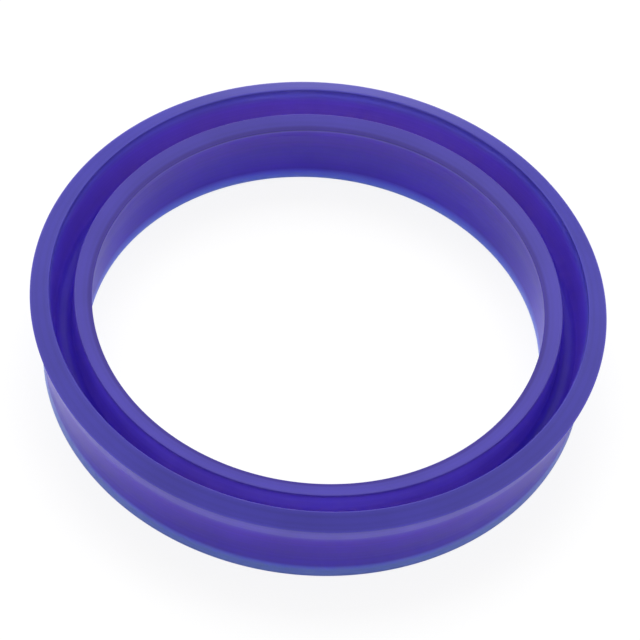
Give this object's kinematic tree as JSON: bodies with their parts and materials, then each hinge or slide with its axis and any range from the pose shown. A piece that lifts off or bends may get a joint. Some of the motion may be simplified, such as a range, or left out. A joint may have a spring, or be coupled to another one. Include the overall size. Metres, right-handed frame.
{
  "type": "u cup seal",
  "caption": "Moulded polyurethane ring seal with a solid heel, a taller flared outer lip, a lower inner lip and a groove between them, for a hydraulic rod.",
  "frame": {"origin": "centre of the heel face, on the ring's axis", "axes": "+Z along the ring's axis, from the heel towards the lips and the groove; X and Y are any two directions across the ring"},
  "size_m": [0.0788, 0.0788, 0.014],
  "materials": {
    "polyurethane": "smooth, semi-gloss, slightly translucent blue-violet polyurethane"
  },
  "bodies": {
    "root": {"seal_ring": "polyurethane"}
  },
  "joints": []
}
